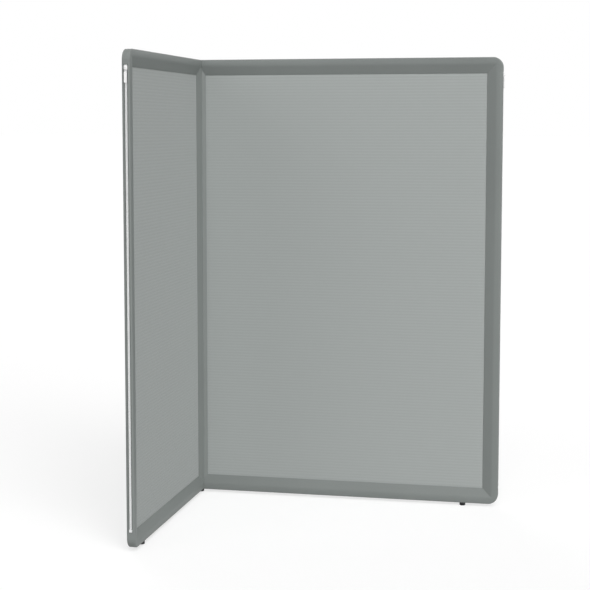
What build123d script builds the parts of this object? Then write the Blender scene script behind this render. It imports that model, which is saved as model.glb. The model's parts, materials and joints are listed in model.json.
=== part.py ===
from build123d import *
import os
from dataclasses import dataclass
from math import acos, atan2, cos, hypot, sin

# Two framed screens joined in an L by a pivot corner, standing on three round feet.
# Millimetres, +Z up. The origin is on the floor, on the pivot axis. The main leaf runs along +X
# and the wing along -Y. Each leaf is drawn along +X and then turned about the pivot axis.

# Overall sizes
main_length = 1000
wing_length = 750
panel_height = 1440
foot_height = 10
thickness = 24

# Border section: a flat, a bend and a slope that falls inward to the lip beside the mesh
border = 50
bend_at = 20
bend_radius = 34
edge_chamfer = 2.3
corner_radius = 32
lip_half = 2.8
wall = 1.8
groove_depth = 10
groove_width = 3.1

# Infill: a board with mesh stretched over both faces
core_thickness = 1.8
mesh_thickness = 0.6
infill_gap = 0.5

# Pivot corner
main_field_start = 24
wing_field_start = 38.6
wing_bend_at = 13.6
wing_bend_radius = 20
swing_gap = 0.4
knuckle_height = 13
washer_space = 1
washer_thickness = 0.9
washer_radius = 9
pin_radius = 4
pin_length = 35
pin_seat_depth = 24
cap_radius = 7
cap_thickness = 2
cap_gap = 0.5
stud_clearance = 0.1
running_gap = 0.05
seat_gap = 0.02

# Spigots of the corner pieces, driven into the extrusions
spigot_length = 35
spigot_gap = 0.15
spigot_chamfer = 1.5
rail_cavity_start = wall
zip_cavity_start = 6.8

# Zip in each free end
zip_opening = 11.4
zip_channel_depth = 5
tape_slot_width = 18
tape_slot_top = 2.3
tape_slot_bottom = 3
tape_thickness = 0.65
tape_reach = 8.8
slit = 0.8
tooth_strip_width = 2.8
tooth_strip_top = 0.35
stop_height = 2
stop_width = 3.2
stop_top = -0.4
bottom_box_height = 8
bottom_box_width = 8.8
bottom_box_top = -0.6
bottom_box_radius = 0.35
zip_bottom = 61
zip_top = 1402.3
zip_pocket = 5

# Zip slider and puller
slider_length = 13
slider_top_width = 10
slider_bottom_width = 8.2
slider_plate_top = -1.6
slider_plate_bottom = 0.05
slider_back_top = 3.4
slider_back_bottom = 4.6
slider_back_width = 9
slider_flange_inner = 3.6
slider_flange_bottom = 2
slider_web = 0.5
slider_z = 1389
slider_foot_radius = 1.5
slider_waist_radius = 4
slider_shoulder_radius = 2.5
bail_width = 2
bail_reach = 5.2
bail_bar = 1.3
bail_leg = 1.5
bail_below_pivot = 1.1
bail_above_pivot = 4.5
bail_radius = 1.2
puller_pivot_z = 1393
puller_pivot_out = 2.9
puller_thickness = 1.4
puller_eye_outer = 5.2
puller_eye_inner = 3
puller_eye_reach = 7
tab_width = 8.3
tab_length = 31
tab_thickness = 1.8
tab_end_reach = 40
tab_radius = 2.5
dish_width = 4.3
dish_length = 15.5
dish_radius = 1.5
dish_depth = 0.35

# Feet
foot_radius = 9.5
foot_gap = 0.3
foot_edge = 1.2
foot_stud_bottom = 5
foot_stud_top = 42
corner_stud_top = 56
insert_radius = 6.5
insert_length = 20
main_foot_at = 885
wing_foot_at = 650

half = thickness / 2
top_edge = foot_height + panel_height
slope = (half - lip_half) / (border - bend_at)
groove_floor = border - groove_depth
nose_clear = half + swing_gap
lap_depth = knuckle_height + washer_space


@dataclass
class Leaf:
    """One framed screen: its length from the pivot axis, the joint-side edge of its mesh, and its turn."""

    name: str
    length: float
    field_start: float
    turn: float
    foot_at: float

    def end_plane(self, z):
        """Level plane at the free end: x runs inward from the end face, y across the thickness."""
        return Plane(origin=(self.length, 0, z), x_dir=(-1, 0, 0), z_dir=(0, 0, 1))

    def end_elevation(self, out=0):
        """Upright plane on the free end face: x runs across the thickness, y is the height."""
        return Plane(origin=(self.length + out, 0, 0), x_dir=(0, 1, 0), z_dir=(1, 0, 0))


@dataclass
class End:
    """Top or bottom of a leaf, with depths measured inward from its outer edge."""

    name: str
    edge: float
    inward: int

    def level(self, depth):
        return self.edge + self.inward * depth

    def rail_plane(self, u):
        """Upright plane across the leaf: x runs inward from the outer edge, y across the thickness."""
        return Plane(origin=(u, 0, self.edge), x_dir=(0, 0, self.inward), z_dir=(1, 0, 0))


main = Leaf("main", main_length, main_field_start, 0, main_foot_at)
wing = Leaf("wing", wing_length, wing_field_start, -90, wing_foot_at)
top = End("top", top_edge, -1)
bottom = End("bottom", foot_height, 1)


def save(builder, name, turn=0):
    """Turns a finished piece about the pivot axis to its leaf's place and writes it."""
    piece = builder.part.moved(Location((0, 0, 0), (0, 0, turn)))
    piece.label = name
    export_step(piece, f"parts/{name}.step")


# Sections of the frame

def border_section(width, bend, bend_round, edge_cut):
    """Solid border section: x runs inward from the outer edge, y across the thickness."""
    with BuildSketch() as section:
        with BuildLine():
            FilletPolyline(
                (width, lip_half),
                (bend, half),
                (0, half),
                (0, -half),
                (bend, -half),
                (width, -lip_half),
                radius=[0, bend_round, 0, 0, bend_round, 0],
                close=True,
            )
        make_face()
        if edge_cut:
            chamfer(section.vertices().group_by(Axis.X)[0], edge_cut)
    return section.sketch


def groove_section(edge_at):
    """Slot that holds the infill, opening at edge_at."""
    with BuildSketch() as section:
        with Locations((edge_at - groove_depth, 0)):
            Rectangle(groove_depth, groove_width, align=(Align.MIN, Align.CENTER))
    return section.sketch


def half_thickness_at(depth):
    """Half thickness of the border at a depth inward from its outer edge, without the bend's rounding."""
    return half - slope * max(0, depth - bend_at)


def cavity_section(start, gap=0):
    """Hollow inside the border, or with a gap the spigot that fills it."""
    end = groove_floor - wall
    with BuildSketch() as section:
        with BuildLine():
            Polyline(
                (start, 0),
                (start, half - 2 * wall),
                (start + wall, half - wall),
                (bend_at, half - wall),
                (end, half_thickness_at(end) - wall),
                (end, 0),
            )
            mirror(about=Plane.XZ)
        make_face()
        if gap:
            offset(amount=-gap, kind=Kind.INTERSECTION)
    return section.sketch


def flank_angle(radius, end, end_half):
    """Direction from the axis to the point where a straight flank leaves the round nose."""
    return atan2(end_half, end) + acos(radius / hypot(end, end_half))


def nose_section(radius, end, end_half):
    """Round nose about the pivot axis with tangent flanks that run to end."""
    angle = flank_angle(radius, end, end_half)
    touch = (radius * cos(angle), radius * sin(angle))
    touch_below = (touch[0], -touch[1])
    with BuildSketch() as section:
        with BuildLine():
            ThreePointArc(touch, (-radius, 0), touch_below)
            Polyline(touch_below, (end, -end_half), (end, end_half), touch)
        make_face()
    return section.sketch


def nose_cavity_section(gap=0):
    """Hollow inside the main leaf's round stile, or with a gap the spigot that fills it."""
    angle = flank_angle(half, main_field_start, lip_half)
    end = main_field_start - groove_depth - wall
    flank_half = (half - end * cos(angle)) / sin(angle)
    return nose_section(half - wall - gap, end - gap, flank_half - wall - gap)


def scoop_section():
    """Clearance that lets the wing swing round the nose: its arc and the two bevels beside the flanks."""
    angle = flank_angle(half, main_field_start, lip_half)
    touch = (nose_clear * sin(angle), nose_clear * cos(angle))
    side = 2 * half
    bevel_end = ((nose_clear - side * cos(angle)) / sin(angle), side)
    with BuildSketch() as section:
        with BuildLine():
            ThreePointArc(touch, (nose_clear, 0), (touch[0], -touch[1]))
            Polyline(
                (touch[0], -touch[1]),
                (bevel_end[0], -side),
                (-side, -side),
                (-side, side),
                bevel_end,
                touch,
            )
        make_face()
    return section.sketch


def wing_joint_section():
    """Solid section of the wing's joint-side stile, drawn from the pivot axis."""
    return border_section(wing_field_start, wing_bend_at, wing_bend_radius, 0)


def wing_cavity_section(gap=0):
    """Hollow inside the wing's joint-side stile, or with a gap the spigot that fills it."""
    wing_slope = (half - lip_half) / (wing_field_start - wing_bend_at)
    start = nose_clear + wall + gap
    end = wing_field_start - groove_depth - wall - gap
    start_half = half - wall - gap
    end_half = half - wing_slope * (end - wing_bend_at) - wall - gap
    with BuildSketch() as section:
        with BuildLine():
            Polyline(
                (start, start_half),
                (wing_bend_at + wall, start_half),
                (end, end_half),
                (end, -end_half),
                (wing_bend_at + wall, -start_half),
                (start, -start_half),
                close=True,
            )
        make_face()
    return section.sketch


def zip_groove_section():
    """Channel for the zip in the end face, with an undercut slot each side for the tape."""
    with BuildSketch() as section:
        Rectangle(zip_channel_depth, zip_opening, align=(Align.MIN, Align.CENTER))
        with Locations((tape_slot_top, 0)):
            Rectangle(tape_slot_bottom - tape_slot_top, tape_slot_width, align=(Align.MIN, Align.CENTER))
    return section.sketch


# Straight frame pieces

def make_rail(leaf, end):
    with BuildPart() as rail:
        with BuildSketch(end.rail_plane(leaf.field_start)):
            add(border_section(border, bend_at, bend_radius, edge_chamfer))
            add(groove_section(border), mode=Mode.SUBTRACT)
            add(cavity_section(rail_cavity_start), mode=Mode.SUBTRACT)
        extrude(amount=leaf.length - border - leaf.field_start)
        if end is bottom:
            with Locations((leaf.foot_at, 0, foot_height)):
                Cylinder(
                    insert_radius + seat_gap,
                    insert_length,
                    align=(Align.CENTER, Align.CENTER, Align.MIN),
                    mode=Mode.SUBTRACT,
                )
    save(rail, f"{leaf.name}_{end.name}_rail", leaf.turn)


def make_free_stile(leaf):
    with BuildPart() as stile:
        with BuildSketch(leaf.end_plane(foot_height + border)):
            add(border_section(border, bend_at, bend_radius, edge_chamfer))
            add(groove_section(border), mode=Mode.SUBTRACT)
            add(cavity_section(zip_cavity_start), mode=Mode.SUBTRACT)
            add(zip_groove_section(), mode=Mode.SUBTRACT)
        extrude(amount=panel_height - 2 * border)
    save(stile, f"{leaf.name}_free_stile", leaf.turn)


def make_main_hinge_stile():
    with BuildPart() as stile:
        with BuildSketch(Plane.XY.offset(foot_height + border)):
            add(nose_section(half, main_field_start, lip_half))
            add(groove_section(main_field_start), mode=Mode.SUBTRACT)
            add(nose_cavity_section(), mode=Mode.SUBTRACT)
        extrude(amount=panel_height - 2 * border)
    save(stile, "main_hinge_stile", main.turn)


def make_wing_hinge_stile():
    with BuildPart() as stile:
        with BuildSketch(Plane.XY.offset(foot_height + border)):
            add(wing_joint_section())
            add(scoop_section(), mode=Mode.SUBTRACT)
            add(groove_section(wing_field_start), mode=Mode.SUBTRACT)
            add(wing_cavity_section(), mode=Mode.SUBTRACT)
        extrude(amount=panel_height - 2 * border)
    save(stile, "wing_hinge_stile", wing.turn)


# Cast corner pieces with spigots

def cut_infill_corner(edge_at, end, side):
    """Cuts the slot for the infill's corner; side is the way from edge_at into the corner piece."""
    with Locations((edge_at, 0, end.level(border))):
        Box(
            groove_depth,
            groove_width,
            groove_depth,
            align=(
                Align.MIN if side > 0 else Align.MAX,
                Align.CENTER,
                Align.MIN if end is top else Align.MAX,
            ),
            mode=Mode.SUBTRACT,
        )


def corner_envelope(leaf, end):
    """Plate with the rounded outer corner and the bevel along its outer edges."""
    reach = border + 2 * edge_chamfer
    with BuildPart() as plate:
        with Locations((leaf.length, 0, end.edge)):
            Box(
                reach,
                thickness,
                reach,
                align=(Align.MAX, Align.CENTER, Align.MAX if end is top else Align.MIN),
            )
        outer_corner = plate.edges().filter_by(Axis.Y).sort_by_distance((leaf.length, 0, end.edge))[0]
        fillet(outer_corner, corner_radius)
        rim = [
            edge
            for face in plate.faces().filter_by(Axis.Y)
            for edge in face.edges()
            if edge.position_at(0.5).X > leaf.length - bend_at
            or abs(edge.position_at(0.5).Z - end.edge) < bend_at
        ]
        chamfer(rim, edge_chamfer)
    return plate.part


def make_free_corner(leaf, end):
    joint_u = leaf.length - border
    joint_z = end.level(border)
    envelope = corner_envelope(leaf, end)
    with BuildPart() as corner:
        with BuildSketch(end.rail_plane(joint_u)):
            add(border_section(border, bend_at, bend_radius, 0))
        extrude(amount=border)
        with BuildSketch(leaf.end_plane(joint_z)):
            add(border_section(border, bend_at, bend_radius, 0))
        extrude(amount=end.edge - joint_z)
        add(envelope, mode=Mode.INTERSECT)
        cut_infill_corner(joint_u, end, 1)
        if end is top:
            with BuildSketch(leaf.end_plane(joint_z)):
                add(zip_groove_section())
            extrude(amount=zip_pocket, mode=Mode.SUBTRACT)

        with BuildSketch(end.rail_plane(joint_u)):
            add(cavity_section(rail_cavity_start, spigot_gap))
        extrude(amount=-spigot_length)
        chamfer(corner.faces().sort_by(Axis.X)[0].edges(), spigot_chamfer)
        with BuildSketch(leaf.end_plane(joint_z)):
            add(cavity_section(zip_cavity_start, spigot_gap))
        extrude(amount=end.inward * spigot_length)
        far_face = 0 if end is top else -1
        chamfer(corner.faces().sort_by(Axis.Z)[far_face].edges(), spigot_chamfer)
    save(corner, f"{leaf.name}_{end.name}_corner", leaf.turn)


def add_hinge_spigots(leaf, end, stile_spigot):
    """Adds the two spigots of a joint-side corner piece; called inside that piece's block."""
    with BuildSketch(end.rail_plane(leaf.field_start)) as rail_spigot:
        add(cavity_section(rail_cavity_start, spigot_gap))
    extrude(rail_spigot.sketch, amount=spigot_length)
    with BuildSketch(Plane.XY.offset(end.level(border))) as upright:
        add(stile_spigot)
    extrude(upright.sketch, amount=end.inward * spigot_length)


def make_main_hinge_block(end):
    with BuildPart() as block:
        with BuildSketch(Plane.XY.offset(end.level(lap_depth))):
            add(nose_section(half, main_field_start, lip_half))
        extrude(amount=end.level(border) - end.level(lap_depth))
        with BuildSketch(end.rail_plane(nose_clear)):
            add(border_section(border, bend_at, bend_radius, edge_chamfer))
        extrude(amount=main_field_start - nose_clear)
        cut_infill_corner(main_field_start, end, -1)
        add_hinge_spigots(main, end, nose_cavity_section(spigot_gap))
        if end is top:
            with BuildSketch(Plane.XY.offset(end.level(lap_depth))):
                Circle(pin_radius + seat_gap)
            extrude(amount=end.inward * pin_seat_depth, mode=Mode.SUBTRACT)
        else:
            with BuildSketch(Plane.XY.offset(end.level(lap_depth))):
                Circle(insert_radius + seat_gap)
            extrude(amount=end.inward * insert_length, mode=Mode.SUBTRACT)
            with BuildSketch(Plane.XY.offset(end.level(lap_depth))):
                Circle(pin_radius + stud_clearance)
            extrude(amount=end.inward * (border - lap_depth), mode=Mode.SUBTRACT)
    save(block, f"main_{end.name}_hinge_block", main.turn)


def make_wing_hinge_block(end):
    with BuildPart() as block:
        with BuildSketch(end.rail_plane(0)):
            add(border_section(border, bend_at, bend_radius, edge_chamfer))
        extrude(amount=wing_field_start)
        with BuildSketch(Plane.XY.offset(end.level(border))):
            add(wing_joint_section())
        extrude(amount=end.level(edge_chamfer) - end.level(border))

        # Round knuckle about the pivot axis, with the scoop for the nose beyond it
        with BuildSketch(Plane.XY.offset(end.level(knuckle_height))):
            Circle(half)
        extrude(amount=-end.inward * (knuckle_height - edge_chamfer))
        with BuildSketch(Plane.XY.offset(end.level(edge_chamfer))):
            Circle(half)
        extrude(amount=-end.inward * edge_chamfer, taper=45)
        with BuildSketch(Plane.XY.offset(end.level(knuckle_height))):
            add(scoop_section())
        extrude(amount=end.inward * (border - knuckle_height), mode=Mode.SUBTRACT)

        with BuildSketch(Plane.XY.offset(end.edge)):
            Circle(pin_radius + running_gap)
        extrude(amount=end.inward * knuckle_height, mode=Mode.SUBTRACT)
        if end is top:
            with BuildSketch(Plane.XY.offset(end.edge)):
                Circle(cap_radius + seat_gap)
            extrude(amount=-cap_thickness, mode=Mode.SUBTRACT)
        cut_infill_corner(wing_field_start, end, -1)
        add_hinge_spigots(wing, end, wing_cavity_section(spigot_gap))
    save(block, f"wing_{end.name}_hinge_block", wing.turn)


# Infill

def make_sheet(leaf, name, near_face, sheet_thickness):
    """Flat sheet that fills the frame into its grooves, with its lower edge on the groove floor."""
    start = leaf.field_start - groove_depth + infill_gap
    width = leaf.length - groove_floor - infill_gap - start
    height = panel_height - 2 * groove_floor - infill_gap
    with BuildPart() as sheet:
        with Locations((start, near_face, foot_height + groove_floor)):
            Box(width, sheet_thickness, height, align=(Align.MIN, Align.MIN, Align.MIN))
    save(sheet, f"{leaf.name}_{name}", leaf.turn)


# Zip: two tapes and two rows of teeth that lie closed in the end face

def make_mirrored_strips(leaf, name, z_from, z_to, across, depth):
    """Two upright strips, one each side of the slit, given by their ranges across and in depth."""
    with BuildPart() as strips:
        with BuildSketch(leaf.end_plane(z_from)):
            with Locations((depth[0], across[0])):
                Rectangle(depth[1] - depth[0], across[1] - across[0], align=(Align.MIN, Align.MIN))
            mirror(about=Plane.XZ)
        extrude(amount=z_to - z_from)
    save(strips, f"{leaf.name}_{name}", leaf.turn)


def make_zip_strips(leaf):
    inner = slit / 2
    teeth_from = zip_bottom + bottom_box_height
    tape_top = tape_slot_bottom - tape_thickness
    stop_z = zip_top + stop_height
    make_mirrored_strips(
        leaf, "zip_tapes", teeth_from, stop_z, (inner, tape_reach), (tape_top, tape_slot_bottom)
    )
    make_mirrored_strips(
        leaf,
        "zip_teeth",
        teeth_from,
        zip_top,
        (inner, inner + tooth_strip_width),
        (tooth_strip_top, tape_top),
    )
    make_mirrored_strips(
        leaf, "zip_top_stops", zip_top, stop_z, (inner, inner + stop_width), (stop_top, tape_top)
    )


def make_zip_bottom_box(leaf):
    with BuildPart() as box:
        with BuildSketch(leaf.end_plane(zip_bottom)):
            with Locations((bottom_box_top, 0)):
                Rectangle(
                    zip_channel_depth - bottom_box_top, bottom_box_width, align=(Align.MIN, Align.CENTER)
                )
        extrude(amount=bottom_box_height)
        front_face = box.faces().sort_by(Axis.X)[-1]
        fillet(front_face.edges(), bottom_box_radius)
    save(box, f"{leaf.name}_zip_bottom_box", leaf.turn)


def make_zip_slider(leaf):
    slider_top = slider_z + slider_length
    with BuildPart() as slider:
        # Front plate, back plate and the web between them, as one section
        with BuildSketch(leaf.end_plane(slider_z)):
            with Locations((slider_plate_top, 0)):
                Rectangle(
                    slider_plate_bottom - slider_plate_top, slider_top_width, align=(Align.MIN, Align.CENTER)
                )
                Rectangle(slider_back_bottom - slider_plate_top, slider_web, align=(Align.MIN, Align.CENTER))
            with Locations((slider_back_top, 0)):
                Rectangle(
                    slider_back_bottom - slider_back_top, slider_back_width, align=(Align.MIN, Align.CENTER)
                )
            with Locations((slider_plate_top, slider_flange_inner)):
                Rectangle(
                    slider_flange_bottom - slider_plate_top,
                    slider_top_width / 2 - slider_flange_inner,
                    align=(Align.MIN, Align.MIN),
                )
            mirror(about=Plane.XZ)
        extrude(amount=slider_length)

        # Trim to the outline: wide shoulders above, narrower below
        with BuildSketch(leaf.end_elevation(-zip_channel_depth)):
            with BuildLine():
                FilletPolyline(
                    (-slider_bottom_width / 2, slider_z),
                    (slider_bottom_width / 2, slider_z),
                    (slider_top_width / 2, slider_z + slider_length / 2),
                    (slider_top_width / 2, slider_top),
                    (-slider_top_width / 2, slider_top),
                    (-slider_top_width / 2, slider_z + slider_length / 2),
                    radius=[
                        slider_foot_radius,
                        slider_foot_radius,
                        slider_waist_radius,
                        slider_shoulder_radius,
                        slider_shoulder_radius,
                        slider_waist_radius,
                    ],
                    close=True,
                )
            make_face()
        extrude(amount=2 * zip_channel_depth, mode=Mode.INTERSECT)

        # Bail that the puller hangs on
        opening_low = puller_pivot_z - bail_below_pivot
        opening_high = puller_pivot_z + bail_above_pivot
        bail_plane = Plane(origin=(leaf.length, 0, 0), x_dir=(1, 0, 0), z_dir=(0, -1, 0))
        with BuildSketch(bail_plane):
            with BuildLine():
                FilletPolyline(
                    (-slider_plate_top, opening_low - bail_leg),
                    (bail_reach, opening_low - bail_leg),
                    (bail_reach, opening_high + bail_leg),
                    (-slider_plate_top, opening_high + bail_leg),
                    radius=[0, bail_radius, bail_radius, 0],
                    close=True,
                )
            make_face()
            with Locations((-slider_plate_top, opening_low)):
                Rectangle(
                    bail_reach - bail_bar + slider_plate_top,
                    opening_high - opening_low,
                    align=(Align.MIN, Align.MIN),
                    mode=Mode.SUBTRACT,
                )
        extrude(amount=bail_width / 2, both=True)
    save(slider, f"{leaf.name}_zip_slider", leaf.turn)


def make_zip_puller(leaf):
    tab_bottom = puller_pivot_z - tab_end_reach
    tab_top = tab_bottom + tab_length
    eye_bottom = puller_pivot_z - puller_eye_reach
    eye_top = puller_pivot_z + puller_thickness / 2
    with BuildPart() as puller:
        # Grip tab
        with BuildSketch(leaf.end_elevation(puller_pivot_out - tab_thickness / 2)):
            with Locations((0, tab_bottom)):
                RectangleRounded(tab_width, tab_length, tab_radius, align=(Align.CENTER, Align.MIN))
        extrude(amount=tab_thickness)

        # Shallow grip dish on the front of the tab
        with BuildSketch(leaf.end_elevation(puller_pivot_out + tab_thickness / 2 - dish_depth)):
            with Locations((0, tab_bottom + tab_radius)):
                RectangleRounded(dish_width, dish_length, dish_radius, align=(Align.CENTER, Align.MIN))
        extrude(amount=dish_depth, mode=Mode.SUBTRACT)

        # Two arms that straddle the bail, joined by the crossbar in it
        with BuildSketch(leaf.end_elevation(puller_pivot_out - puller_thickness / 2)):
            with Locations((0, tab_top - tab_radius)):
                Rectangle(
                    puller_eye_outer,
                    puller_pivot_z - tab_top + tab_radius,
                    align=(Align.CENTER, Align.MIN),
                )
            with Locations((0, eye_bottom)):
                Rectangle(
                    puller_eye_inner,
                    eye_top - eye_bottom,
                    align=(Align.CENTER, Align.MIN),
                    mode=Mode.SUBTRACT,
                )
        extrude(amount=puller_thickness)
        crossbar_plane = Plane(
            origin=(leaf.length + puller_pivot_out, 0, puller_pivot_z), x_dir=(1, 0, 0), z_dir=(0, -1, 0)
        )
        with BuildSketch(crossbar_plane):
            Circle(puller_thickness / 2)
        extrude(amount=puller_eye_outer / 2, both=True)
    save(puller, f"{leaf.name}_zip_puller", leaf.turn)


# Feet

def make_foot(name, at, stud_top, insert_bottom, turn):
    """Adjustable foot: a pad pressed on a stud, screwed into an insert in the frame."""
    with BuildPart() as pad:
        with BuildSketch():
            Circle(foot_radius)
        extrude(amount=foot_height - foot_gap)
        chamfer(pad.edges().group_by(Axis.Z)[0], foot_edge)
        with Locations((0, 0, foot_stud_bottom)):
            Cylinder(
                pin_radius + seat_gap,
                foot_height,
                align=(Align.CENTER, Align.CENTER, Align.MIN),
                mode=Mode.SUBTRACT,
            )
    with BuildPart() as stud:
        with BuildSketch(Plane.XY.offset(foot_stud_bottom)):
            Circle(pin_radius)
        extrude(amount=stud_top - foot_stud_bottom)
    with BuildPart() as insert:
        with BuildSketch(Plane.XY.offset(insert_bottom)):
            Circle(insert_radius)
            Circle(pin_radius + running_gap, mode=Mode.SUBTRACT)
        extrude(amount=insert_length)
    for piece, part_name in ((pad, "pad"), (stud, "stud"), (insert, "insert")):
        piece.part = piece.part.moved(Location((at, 0, 0)))
        save(piece, f"{name}_{part_name}", turn)


# Pivot

def make_pivot():
    with BuildPart() as pin:
        with BuildSketch(Plane.XY.offset(top.level(cap_thickness + cap_gap))):
            Circle(pin_radius)
        extrude(amount=-pin_length)
    save(pin, "pivot_pin")

    with BuildPart() as cap:
        with BuildSketch(Plane.XY.offset(top.edge)):
            Circle(cap_radius)
        extrude(amount=-cap_thickness)
    save(cap, "pivot_cap")

    with BuildPart() as washers:
        for end in (top, bottom):
            with BuildSketch(Plane.XY.offset(end.level(lap_depth))):
                Circle(washer_radius)
                Circle(pin_radius + stud_clearance, mode=Mode.SUBTRACT)
            extrude(amount=-end.inward * washer_thickness)
    save(washers, "pivot_washers")


os.makedirs("parts", exist_ok=True)

for leaf in (main, wing):
    for end in (top, bottom):
        make_rail(leaf, end)
        make_free_corner(leaf, end)
    make_free_stile(leaf)
    make_sheet(leaf, "core", -core_thickness / 2, core_thickness)
    make_sheet(leaf, "front_mesh", -core_thickness / 2 - mesh_thickness, mesh_thickness)
    make_sheet(leaf, "back_mesh", core_thickness / 2, mesh_thickness)
    make_zip_strips(leaf)
    make_zip_bottom_box(leaf)
    make_zip_slider(leaf)
    make_zip_puller(leaf)
    make_foot(f"{leaf.name}_foot", leaf.foot_at, foot_stud_top, foot_height, leaf.turn)

make_main_hinge_stile()
make_wing_hinge_stile()
for end in (top, bottom):
    make_main_hinge_block(end)
    make_wing_hinge_block(end)
make_pivot()
make_foot("corner_foot", 0, corner_stud_top, foot_height + lap_depth, 0)
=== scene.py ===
import json
from dataclasses import dataclass
from math import pi, radians

import bmesh
import bpy
from mathutils import Matrix, Vector


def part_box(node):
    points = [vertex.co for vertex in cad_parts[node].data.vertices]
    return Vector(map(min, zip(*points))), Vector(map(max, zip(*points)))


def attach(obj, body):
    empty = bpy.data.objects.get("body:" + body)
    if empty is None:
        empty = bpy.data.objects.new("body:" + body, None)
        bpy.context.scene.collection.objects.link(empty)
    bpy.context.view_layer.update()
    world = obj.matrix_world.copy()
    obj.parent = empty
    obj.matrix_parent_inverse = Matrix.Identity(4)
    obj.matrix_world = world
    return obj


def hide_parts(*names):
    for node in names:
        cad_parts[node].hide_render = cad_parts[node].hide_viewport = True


# The looks of an L-shaped office partition: coated frame, stretched mesh, link zips and feet.
# Metres, in the frame's axes. Each leaf's pieces are drawn along +X and then turned about the pivot axis.

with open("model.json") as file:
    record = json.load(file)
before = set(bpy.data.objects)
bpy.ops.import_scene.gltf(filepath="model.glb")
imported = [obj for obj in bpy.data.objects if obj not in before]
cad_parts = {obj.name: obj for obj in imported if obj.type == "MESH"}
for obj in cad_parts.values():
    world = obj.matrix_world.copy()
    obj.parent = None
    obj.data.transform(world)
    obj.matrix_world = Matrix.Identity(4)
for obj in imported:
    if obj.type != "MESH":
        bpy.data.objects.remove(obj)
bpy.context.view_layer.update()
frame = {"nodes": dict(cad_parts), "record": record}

millimetre = 0.001

# Mesh cloth
cloth_thickness = 0.6 * millimetre
cloth_tuck = 9.5 * millimetre
cloth_roll = 9 * millimetre
cloth_roll_shares = (0, 0.25, 0.5, 0.75, 1)
cloth_proud = 0.4 * millimetre
cloth_step = 45 * millimetre

# Knitted pattern: its sizes, and what each part adds to the tone, which is 0 at the gap's colour and 1 at
# the yarn's
knit_row = 2.4 * millimetre
knit_stitch = 2.4 * millimetre
knit_band = 4 * knit_row
knit_column = 3 * knit_stitch
yarn_half_width = 0.32 * knit_row
yarn_softness = 0.6
yarn_relief = 0.1 * millimetre
fuzz_size = 0.5 * millimetre
tone_base = 0.2
tone_stitches = 0.4
tone_heavy = 0.045
tone_fuzz = 0.2

# Zip chain: a tooth's half outline is (across, height) in millimetres, from its base to its head, and its
# top is a smaller copy of the whole
tooth_pitch = 2.6 * millimetre
tooth_half_outline = ((3.2, 1.0), (1.3, 1.0), (0.8, 0.55), (-0.1, 0.6), (-0.7, 0.6), (-1.0, 0.35))
tooth_past_centre = 1.0 * millimetre
tooth_bevel = 0.3 * millimetre
tooth_top_scale = 0.8

# Zip tapes
tape_half_gap = 0.4 * millimetre
tape_edge = 0.15 * millimetre
tape_rib = 0.7 * millimetre

# Smoothing: the look of the frame's bevels, and the edges of the small zip pieces
join_distance = 0.001 * millimetre
facet_angle = radians(10)
edge_bevel_angle = radians(45)
edge_bevel_spread = radians(5)
large_face_weight = 100
softened_pieces = ("zip_slider", "zip_puller", "zip_bottom_box", "zip_top_stops")
soft_edge = 0.3 * millimetre
soft_edge_segments = 3
soft_edge_angle = radians(40)

# Camera, fitted to the photograph's corners. The photograph's view is level and shifted far down; this one
# keeps 30 pixels of that shift and tilts down for the rest.
image_size = 590
camera_place = Vector((1.3387, -4.7039, 1.2274))
camera_yaw = radians(12.16)
camera_tilt = radians(5.353)
camera_lens_mm = 89.36
camera_sensor_mm = 36
camera_shift = 30

# Light: each lamp has the direction towards it and a level, which is how bright a white surface facing it
# shows in that light alone
sky_level = 0.3
lamps = {
    "key": ((0.75, -0.66, 0.25), 0.465),
    "top": ((0.3, -0.7, 0.9), 0.47),
    "fill": ((-0.6, -0.8, 0.3), 0.14),
    "back": ((-0.5, 0.8, 0.15), 0.5),
}
lamp_spread = radians(40)

# Floor: the glow that only the camera and reflections see turns its grey to white
floor_size = 400
floor_grey = 0.45
floor_drift = 0.01
floor_patch = 0.8
floor_glow = 0.61


@dataclass
class Leaf:
    """One framed screen and its turn about the pivot axis, in degrees."""

    name: str
    turn: float

    def node(self, piece):
        """Full name of one of the leaf's pieces."""
        return f"{self.name}_{piece}"

    def box(self, piece):
        """Lowest and highest corner of a node in the leaf's own axes."""
        unturn = Matrix.Rotation(radians(-self.turn), 3, "Z")
        one, other = (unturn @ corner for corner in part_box(self.node(piece)))
        return Vector(map(min, one, other)), Vector(map(max, one, other))


leaves = (Leaf("main", 0), Leaf("wing", -90))


# Materials

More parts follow.
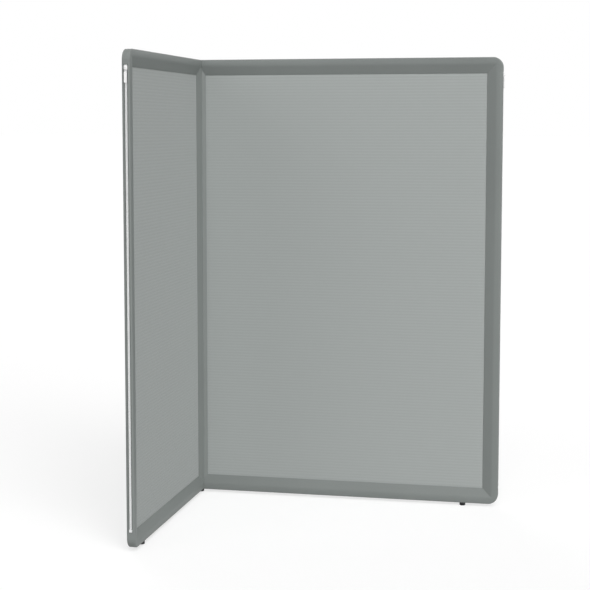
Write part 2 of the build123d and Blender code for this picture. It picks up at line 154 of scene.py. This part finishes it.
class Surface:
    """A material with its principled shader, and short ways to add the nodes that drive it."""

    def __init__(self, name, roughness):
        self.material = bpy.data.materials.new(name)
        self.material.use_nodes = True
        self.tree = self.material.node_tree
        self.shader = self.tree.nodes["Principled BSDF"]
        self.set("Roughness", roughness)
        coordinates = self.tree.nodes.new("ShaderNodeTexCoord")
        self.place = coordinates.outputs["Object"]

    def set(self, socket, value):
        """Gives one of the shader's own sockets a constant value."""
        self.shader.inputs[socket].default_value = value

    def join(self, socket, output):
        """Joins another node's output to one of the shader's own sockets."""
        self.tree.links.new(output, self.shader.inputs[socket])

    def node(self, kind, inputs=(), **settings):
        """Adds a node; inputs maps a socket's name or number to a value or to another node's output."""
        made = self.tree.nodes.new(kind)
        for name, value in settings.items():
            setattr(made, name, value)
        for socket, value in dict(inputs).items():
            if isinstance(value, bpy.types.NodeSocket):
                self.tree.links.new(value, made.inputs[socket])
            else:
                made.inputs[socket].default_value = value
        return made

    def math(self, operation, first, second=0.0):
        """Result of one operation; the sine leaves the second value out."""
        return self.node("ShaderNodeMath", {0: first, 1: second}, operation=operation).outputs[0]

    def sine(self, distance, length):
        """Sine wave of the given length in metres."""
        return self.math("SINE", self.math("MULTIPLY", distance, 2 * pi / length))

    def noise(self, size, detail=2.0):
        """Noise with features of about the given size in metres."""
        inputs = {"Vector": self.place, "Scale": 1 / size, "Detail": detail}
        return self.node("ShaderNodeTexNoise", inputs).outputs["Fac"]

    def ramp(self, factor, low, high, start=0.0, end=1.0):
        """Colour that goes from low to high as factor goes from start to end."""
        made = self.node("ShaderNodeValToRGB", {"Fac": factor})
        made.color_ramp.elements[0].position = start
        made.color_ramp.elements[1].position = end
        made.color_ramp.elements[0].color = (*low, 1)
        made.color_ramp.elements[1].color = (*high, 1)
        return made.outputs["Color"]

    def colour(self, output):
        """Joins an output to the base colour."""
        self.join("Base Color", output)

    def roughness(self, factor, low, high):
        """Roughness that goes from low to high as factor goes from 0 to 1."""
        spread = self.node("ShaderNodeMapRange", {"Value": factor, "To Min": low, "To Max": high})
        self.join("Roughness", spread.outputs["Result"])

    def bump(self, height, depth):
        """Relief of the given depth in metres."""
        made = self.node("ShaderNodeBump", {"Height": height, "Distance": depth, "Strength": 1.0})
        self.join("Normal", made.outputs["Normal"])


def shade(colour, factor):
    """The colour made darker or lighter."""
    return tuple(channel * factor for channel in colour)


def coated_metal(name, colour):
    """Satin powder coat: fine orange peel and a slight drift of tone along the extrusions."""
    surface = Surface(name, roughness=0.5)
    drift = surface.noise(size=0.25, detail=3.0)
    peel = surface.noise(size=1.1 * millimetre)
    surface.colour(surface.ramp(drift, shade(colour, 0.97), shade(colour, 1.03), start=0.35, end=0.65))
    surface.roughness(drift, low=0.46, high=0.56)
    surface.bump(peel, depth=0.02 * millimetre)
    surface.set("Specular IOR Level", 0.35)
    return surface.material


def woven_mesh(name, yarn, gap):
    """Fine knitted mesh: staggered openings in rows, with heavier stitches every few rows and columns."""
    surface = Surface(name, roughness=0.9)
    axes = surface.node("ShaderNodeSeparateXYZ", {0: surface.place}).outputs
    along = surface.math("ADD", axes["X"], axes["Y"])
    flat_place = surface.node("ShaderNodeCombineXYZ", {"X": along, "Y": axes["Z"]}).outputs[0]
    stitches = surface.node(
        "ShaderNodeTexBrick",
        {
            "Vector": flat_place,
            "Scale": 1.0,
            "Mortar Size": yarn_half_width,
            "Mortar Smooth": yarn_softness,
            "Brick Width": knit_stitch,
            "Row Height": knit_row,
        },
        offset=0.5,
    ).outputs["Fac"]
    row_wave = surface.sine(axes["Z"], knit_band)
    column_wave = surface.sine(along, knit_column)
    heavy = surface.math("MULTIPLY", row_wave, surface.math("ADD", 1.0, column_wave))
    fuzz = surface.noise(fuzz_size)
    tone = tone_base
    for part, share in ((stitches, tone_stitches), (heavy, tone_heavy), (fuzz, tone_fuzz)):
        tone = surface.math("ADD", tone, surface.math("MULTIPLY", part, share))
    surface.colour(surface.ramp(tone, gap, yarn))
    surface.bump(stitches, yarn_relief)
    surface.set("Specular IOR Level", 0.15)
    surface.set("Sheen Weight", 0.1)
    surface.set("Sheen Roughness", 0.5)
    return surface.material


def woven_tape(name, colour):
    """Zip tape: narrow woven ribs across the tape."""
    surface = Surface(name, roughness=0.85)
    rib_scale = 1 / tape_rib
    ribs = surface.node(
        "ShaderNodeTexWave",
        {"Vector": surface.place, "Scale": rib_scale / 3, "Distortion": 0.4, "Detail Scale": rib_scale},
        bands_direction="Z",
    ).outputs["Fac"]
    surface.colour(surface.ramp(ribs, shade(colour, 0.8), shade(colour, 1.1)))
    surface.bump(ribs, depth=0.08 * millimetre)
    return surface.material


def moulded_plastic(name, colour, roughness, grain, depth, gloss=0.5):
    """Moulded plastic or enamel with a fine grain."""
    surface = Surface(name, roughness)
    fine = surface.noise(grain)
    broad = surface.noise(12 * grain, detail=3.0)
    surface.colour(surface.ramp(broad, shade(colour, 0.94), colour, start=0.3, end=0.7))
    surface.roughness(fine, low=roughness - 0.05, high=roughness + 0.08)
    surface.bump(fine, depth)
    surface.set("Specular IOR Level", gloss)
    return surface.material


def plated_steel(name, low, high):
    """Zinc plate with turning marks across the axis."""
    surface = Surface(name, roughness=0.35)
    rings = surface.node(
        "ShaderNodeTexWave",
        {"Vector": surface.place, "Scale": 1 / (1.5 * millimetre), "Distortion": 1.0},
        bands_direction="Z",
    ).outputs["Fac"]
    surface.colour(surface.ramp(rings, low, high))
    surface.bump(rings, depth=0.01 * millimetre)
    surface.set("Metallic", 1.0)
    return surface.material


def pressed_board(name, colour):
    """Dense board of pressed fibres."""
    surface = Surface(name, roughness=0.95)
    fibres = surface.noise(size=1.5 * millimetre, detail=6.0)
    surface.colour(surface.ramp(fibres, shade(colour, 0.8), shade(colour, 1.15), start=0.3, end=0.7))
    surface.bump(fibres, depth=0.05 * millimetre)
    return surface.material


frame_grey = (0.195, 0.212, 0.205)
finishes = {
    "grey_coated_aluminium": coated_metal("coated_extrusion", frame_grey),
    "grey_coated_casting": coated_metal("coated_casting", frame_grey),
    "grey_mesh": woven_mesh("knitted_mesh", yarn=(0.49, 0.52, 0.509), gap=(0.196, 0.208, 0.204)),
    "core_board": pressed_board("board", (0.3, 0.32, 0.31)),
    "zip_tape": woven_tape("tape", (0.2, 0.215, 0.21)),
    "zip_white": moulded_plastic(
        "moulded_white", (0.85, 0.86, 0.86), roughness=0.4, grain=0.4 * millimetre, depth=0.01 * millimetre
    ),
    "slider_white": moulded_plastic(
        "white_enamel", (0.9, 0.9, 0.9), roughness=0.3, grain=0.6 * millimetre, depth=0.006 * millimetre
    ),
    "black_foot": moulded_plastic(
        "black_moulding",
        (0.02, 0.021, 0.022),
        roughness=0.45,
        grain=0.5 * millimetre,
        depth=0.02 * millimetre,
        gloss=0.2,
    ),
    "grey_cap": moulded_plastic(
        "grey_moulding", frame_grey, roughness=0.5, grain=0.5 * millimetre, depth=0.015 * millimetre
    ),
    "zinc_steel": plated_steel("zinc_plate", low=(0.50, 0.51, 0.52), high=(0.62, 0.63, 0.64)),
}


# CAD nodes: finishes, and modifiers that leave their meshes as they are

def cad_nodes():
    """Every CAD node with its material slot in the record."""
    return [(frame["nodes"][part["node"]], part["material_slot"]) for part in frame["record"]["subparts"]]


def finish_node(node, slot):
    """Gives a CAD node the finish of its material slot."""
    node.data.materials.clear()
    node.data.materials.append(finishes[slot])


def make_rounding():
    """Modifier tree that joins a mesh's faces and shades it smooth over curves and edge bevels only."""
    tree = bpy.data.node_groups.new("rounding", "GeometryNodeTree")
    for in_out in ("INPUT", "OUTPUT"):
        tree.interface.new_socket("Geometry", in_out=in_out, socket_type="NodeSocketGeometry")
    angle = tree.nodes.new("GeometryNodeInputMeshEdgeAngle")
    fold = tree.nodes.new("FunctionNodeCompare")
    fold.inputs["B"].default_value = facet_angle
    other = tree.nodes.new("FunctionNodeCompare")
    other.operation = "NOT_EQUAL"
    other.inputs["B"].default_value = edge_bevel_angle
    other.inputs["Epsilon"].default_value = edge_bevel_spread
    sharp = tree.nodes.new("FunctionNodeBooleanMath")
    join = tree.nodes.new("GeometryNodeMergeByDistance")
    join.inputs["Distance"].default_value = join_distance
    smooth = tree.nodes.new("GeometryNodeSetShadeSmooth")
    crease = tree.nodes.new("GeometryNodeSetShadeSmooth")
    crease.domain = "EDGE"
    crease.inputs["Shade Smooth"].default_value = False
    chain = (tree.nodes.new("NodeGroupInput"), join, smooth, crease, tree.nodes.new("NodeGroupOutput"))
    for earlier, later in zip(chain, chain[1:]):
        tree.links.new(earlier.outputs["Geometry"], later.inputs["Geometry"])
    for socket, test in enumerate((fold, other)):
        tree.links.new(angle.outputs["Unsigned Angle"], test.inputs["A"])
        tree.links.new(test.outputs["Result"], sharp.inputs[socket])
    tree.links.new(sharp.outputs["Boolean"], crease.inputs["Selection"])
    return tree


def round_look(node, tree):
    """Shades a frame piece's narrow bevels as round edges."""
    node.modifiers.new("rounding", "NODES").node_group = tree
    normals = node.modifiers.new("normals", "WEIGHTED_NORMAL")
    normals.keep_sharp = True
    normals.weight = large_face_weight


def soften(node):
    """Rounds the edges of a CAD node's shown shape."""
    weld = node.modifiers.new("weld", "WELD")
    weld.merge_threshold = join_distance
    bevel = node.modifiers.new("soft_edges", "BEVEL")
    bevel.width = soft_edge
    bevel.segments = soft_edge_segments
    bevel.limit_method = "ANGLE"
    bevel.angle_limit = soft_edge_angle
    bevel.harden_normals = True


# Pieces made here

def add_piece(leaf, name, shape, body, slot, node):
    """Makes an object from a bmesh drawn in the leaf's axes, and puts it in the node's place."""
    mesh = bpy.data.meshes.new(leaf.node(name))
    shape.to_mesh(mesh)
    shape.free()
    mesh.transform(Matrix.Rotation(radians(leaf.turn), 4, "Z"))
    mesh.materials.append(finishes[slot])
    piece = bpy.data.objects.new(leaf.node(name), mesh)
    bpy.context.scene.collection.objects.link(piece)
    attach(piece, body)
    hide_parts(leaf.node(node))
    return piece


def loft(shape, rings):
    """Adds a closed form whose rings of points, all of one count, are joined in order and capped."""
    made = [[shape.verts.new(point) for point in ring] for ring in rings]
    count = len(made[0])
    for lower, upper in zip(made, made[1:]):
        for i in range(count):
            shape.faces.new((lower[i], lower[(i + 1) % count], upper[(i + 1) % count], upper[i]))
    shape.faces.new(reversed(made[0]))
    shape.faces.new(made[-1])


def stations(low, high):
    """Places across a cloth: close together where it dips under the frame, and even elsewhere."""
    start = [low] + [low + cloth_tuck + share * cloth_roll for share in cloth_roll_shares]
    end = [high] + [high - cloth_tuck - share * cloth_roll for share in cloth_roll_shares]
    count = round((end[-1] - start[-1]) / cloth_step)
    middle = [start[-1] + (end[-1] - start[-1]) * i / count for i in range(1, count)]
    return start + middle + end[::-1]


def rise(distance):
    """How far the cloth stands proud at a distance from the frame's edge, from 0 to 1."""
    share = min(1, max(0, distance / cloth_roll))
    return share * share * (3 - 2 * share)


def make_cloth(leaf, side, outward):
    """Mesh cloth stretched over the board; it dips a little where it goes under the frame."""
    low, high = leaf.box(f"{side}_mesh")
    surface = high.y if outward > 0 else low.y
    across = stations(low.x, high.x)
    up = stations(low.z, high.z)
    shape = bmesh.new()
    grid = []
    for z in up:
        row = []
        for x in across:
            edge = min(x - low.x, high.x - x, z - low.z, high.z - z) - cloth_tuck
            row.append(shape.verts.new((x, surface + outward * cloth_proud * rise(edge), z)))
        grid.append(row)
    for lower, upper in zip(grid, grid[1:]):
        for i in range(len(across) - 1):
            corners = (lower[i], lower[i + 1], upper[i + 1], upper[i])
            shape.faces.new(corners if outward < 0 else corners[::-1])
    for face in shape.faces:
        face.smooth = True
    cloth = add_piece(leaf, f"{side}_cloth", shape, f"{leaf.name}_leaf", "grey_mesh", f"{side}_mesh")
    solid = cloth.modifiers.new("thickness", "SOLIDIFY")
    solid.thickness = cloth_thickness
    solid.offset = -1
    leaf.node("core")


def tooth_outline(side, z):
    """Outline of one tooth, as (across, height): a base on the tape, a neck and a head past the centre."""
    upper = [(side * v * millimetre, z + h * millimetre) for v, h in tooth_half_outline]
    lower = [(side * v * millimetre, z - h * millimetre) for v, h in tooth_half_outline[::-1]]
    return upper + lower


def make_zip_chain(leaf):
    """Two rows of moulded teeth, closed, repeated up the chain."""
    low, high = leaf.box("zip_teeth")
    shape = bmesh.new()
    for side in (-1, 1):
        z = low.z + tooth_pitch / 2 + (tooth_pitch / 2 if side > 0 else 0)
        outline = tooth_outline(side, z)
        middle = side * (high.y + tooth_past_centre) / 3
        narrowed = [
            (middle + (v - middle) * tooth_top_scale, z + (h - z) * tooth_top_scale) for v, h in outline
        ]
        rings = (
            [(low.x, v, h) for v, h in outline],
            [(high.x - tooth_bevel, v, h) for v, h in outline],
            [(high.x, v, h) for v, h in narrowed],
        )
        loft(shape, rings)
    bmesh.ops.recalc_face_normals(shape, faces=shape.faces)
    chain = add_piece(leaf, "zip_chain", shape, f"{leaf.name}_leaf", "zip_white", "zip_teeth")
    repeat = chain.modifiers.new("pitch", "ARRAY")
    repeat.use_relative_offset = False
    repeat.use_constant_offset = True
    repeat.constant_offset_displace = (0, 0, tooth_pitch)
    repeat.count = int((high.z - low.z) / tooth_pitch) - 1


def make_zip_tapes(leaf):
    """Two woven tapes with rolled edges, held in the undercut slots."""
    low, high = leaf.box("zip_tapes")
    inner = leaf.box("zip_teeth")[1].y
    shape = bmesh.new()
    for side in (-1, 1):
        section = (
            (low.x + tape_edge, tape_half_gap),
            (high.x - tape_edge, tape_half_gap),
            (high.x, tape_half_gap + tape_edge),
            (high.x, inner),
            (high.x - tape_edge, inner + tape_edge),
            (high.x - tape_edge, high.y),
            (low.x + tape_edge, high.y),
            (low.x, high.y - tape_edge),
            (low.x, tape_half_gap + tape_edge),
        )
        loft(shape, [[(x, side * y, z) for x, y in section] for z in (low.z, high.z)])
    bmesh.ops.recalc_face_normals(shape, faces=shape.faces)
    add_piece(leaf, "zip_tape_weave", shape, f"{leaf.name}_leaf", "zip_tape", "zip_tapes")


rounding = make_rounding()
for node, slot in cad_nodes():
    finish_node(node, slot)
    if slot.startswith("grey_coated"):
        round_look(node, rounding)
for leaf in leaves:
    make_cloth(leaf, "front", -1)
    make_cloth(leaf, "back", 1)
    make_zip_chain(leaf)
    make_zip_tapes(leaf)
    for piece in softened_pieces:
        soften(frame["nodes"][leaf.node(piece)])


# Stage, light and camera

def seen_directly(tree):
    """1 for camera, glossy and transmission rays, and 0 for the light that falls on the object."""
    path = tree.nodes.new("ShaderNodeLightPath")
    seen = path.outputs["Is Camera Ray"]
    for other in ("Is Glossy Ray", "Is Transmission Ray"):
        either = tree.nodes.new("ShaderNodeMath")
        either.operation = "MAXIMUM"
        tree.links.new(seen, either.inputs[0])
        tree.links.new(path.outputs[other], either.inputs[1])
        seen = either.outputs[0]
    return seen


def make_floor():
    """Pale floor that takes the object's shadow and stays white to the camera elsewhere."""
    bpy.ops.mesh.primitive_plane_add(size=floor_size)
    floor = bpy.context.object
    floor.name = "floor"
    surface = Surface("pale_floor", roughness=0.9)
    patches = surface.noise(floor_patch)
    surface.colour(surface.ramp(patches, (floor_grey - floor_drift,) * 3, (floor_grey + floor_drift,) * 3))
    surface.set("Specular IOR Level", 0.0)
    surface.set("Emission Color", (1, 1, 1, 1))
    surface.join("Emission Strength", surface.math("MULTIPLY", seen_directly(surface.tree), floor_glow))
    floor.data.materials.append(surface.material)


def make_world():
    """Even light all round, shown as white to the camera and in reflections."""
    world = bpy.data.worlds.new("studio")
    world.use_nodes = True
    bpy.context.scene.world = world
    tree = world.node_tree
    background = tree.nodes["Background"]
    background.inputs["Color"].default_value = (1, 1, 1, 1)
    level = tree.nodes.new("ShaderNodeMapRange")
    level.inputs["To Min"].default_value = sky_level
    level.inputs["To Max"].default_value = 1.0
    tree.links.new(seen_directly(tree), level.inputs["Value"])
    tree.links.new(level.outputs["Result"], background.inputs["Strength"])


def make_lamp(name, towards, level):
    """Broad distant lamp in the given direction."""
    lamp = bpy.data.lights.new(name, "SUN")
    lamp.angle = lamp_spread
    lamp.energy = level * pi
    holder = bpy.data.objects.new(name, lamp)
    holder.rotation_euler = (-Vector(towards)).to_track_quat("-Z", "Y").to_euler()
    bpy.context.scene.collection.objects.link(holder)


def make_camera():
    """Camera in the place from which the photograph was taken."""
    camera = bpy.data.cameras.new("camera")
    camera.lens = camera_lens_mm
    camera.sensor_width = camera_sensor_mm
    camera.shift_y = -camera_shift / image_size
    holder = bpy.data.objects.new("camera", camera)
    holder.location = camera_place
    holder.rotation_euler = (radians(90) - camera_tilt, 0, camera_yaw)
    bpy.context.scene.collection.objects.link(holder)
    bpy.context.scene.camera = holder


make_floor()
make_world()
for name, (towards, level) in lamps.items():
    make_lamp(name, towards, level)
make_camera()
bpy.context.scene.view_settings.view_transform = "Standard"
